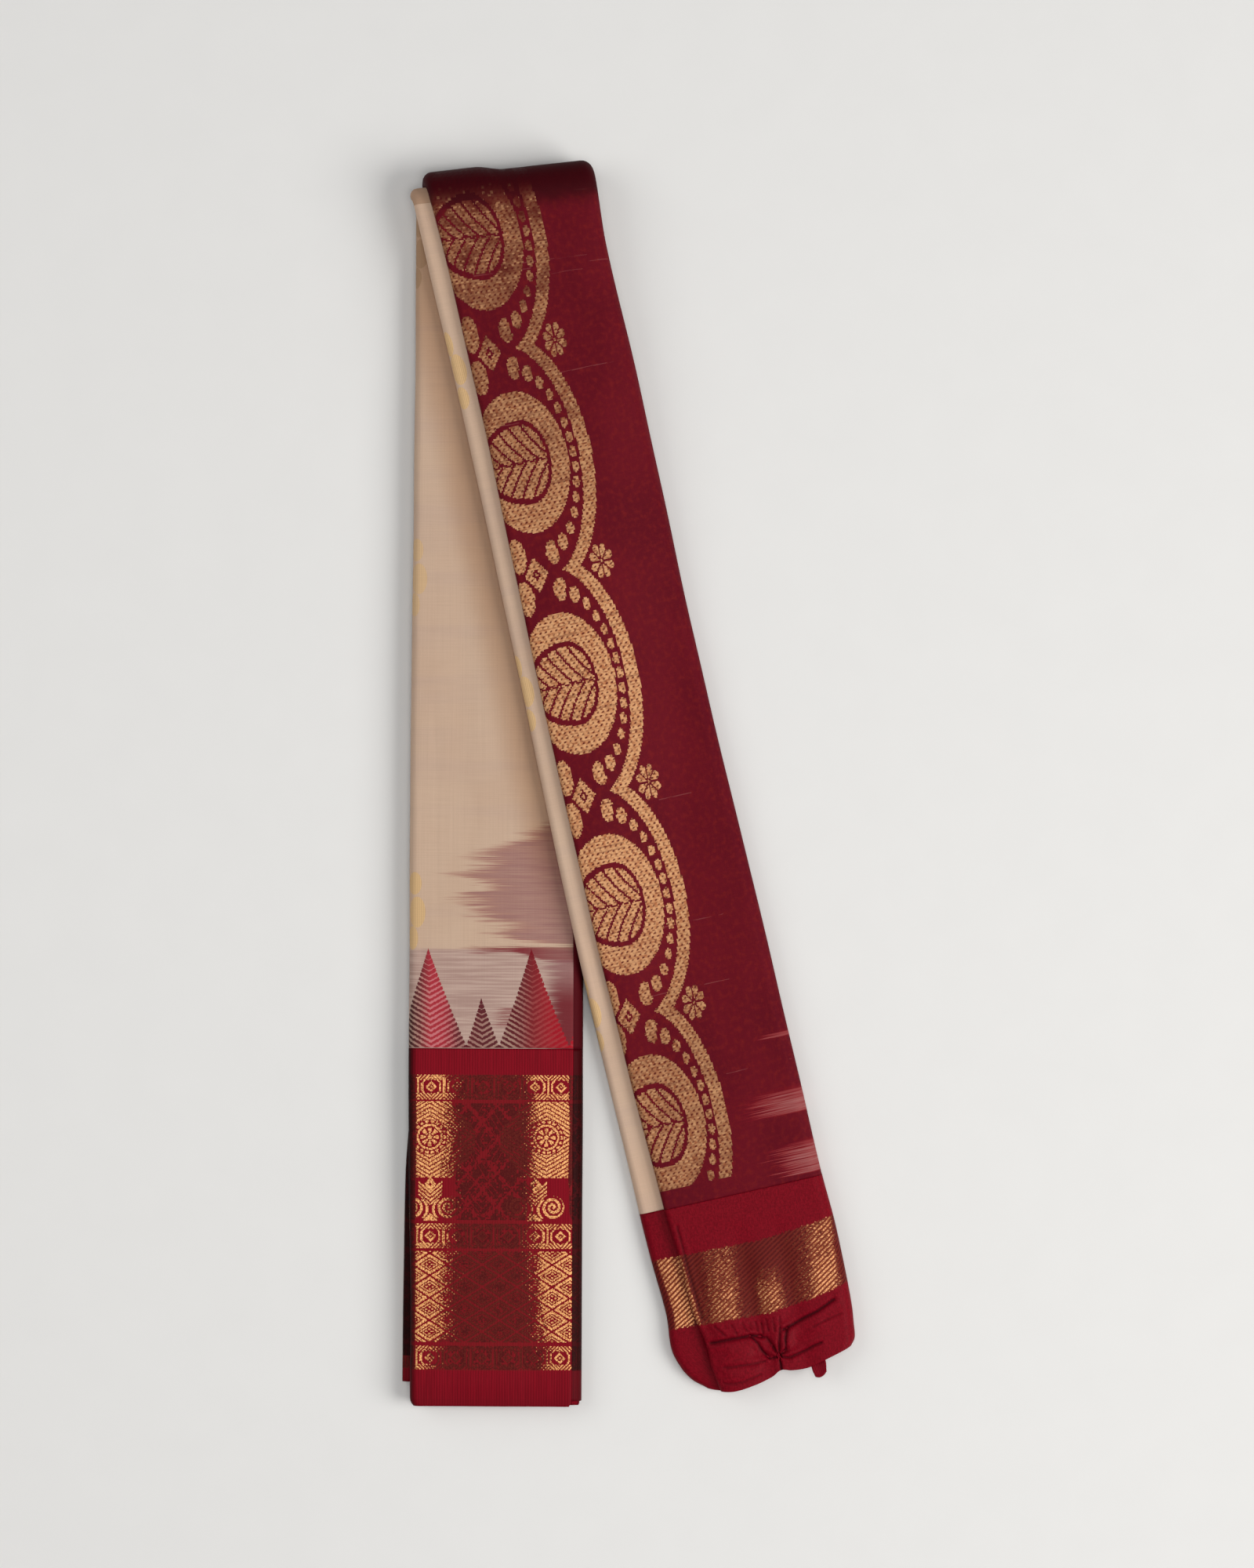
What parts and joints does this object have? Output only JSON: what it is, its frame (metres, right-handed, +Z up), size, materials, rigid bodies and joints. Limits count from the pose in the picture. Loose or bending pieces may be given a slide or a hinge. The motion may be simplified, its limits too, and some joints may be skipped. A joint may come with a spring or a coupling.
{
  "type": "gadwal saree",
  "caption": "Folded saree doubled into a narrow V, with a cream body, a maroon pallu with ring medallions, and silk and zari borders at both ends.",
  "frame": {"origin": "middle of the footprint, on the surface that the folded saree lies on", "axes": "+Z up, +Y from the two loose ends towards the fold at the top, +X from the left leg towards the right leg"},
  "size_m": [0.216, 0.5966, 0.027],
  "materials": {
    "body_cotton": "plain cream cotton with soft ikat streaks",
    "pallu_silk": "maroon silk with orange-tan zari medallions",
    "wide_border_silk": "red silk with gold zari bands",
    "narrow_border_silk": "red silk twill with a gold zari band",
    "hidden_layers": "stacked selvedges of the hidden layers",
    "tie_thread": "red silk thread"
  },
  "bodies": {
    "root": {"body_left": "body_cotton", "body_roll": "body_cotton", "wide_border": "wide_border_silk", "wide_border_outer": "wide_border_silk", "pallu_under": "pallu_silk", "pallu": "pallu_silk", "narrow_border_pallu": "narrow_border_silk", "narrow_border_roll": "narrow_border_silk", "hidden_layers": "hidden_layers", "tie_stitch": "tie_thread", "selvedge_tab": "tie_thread"}
  },
  "joints": []
}
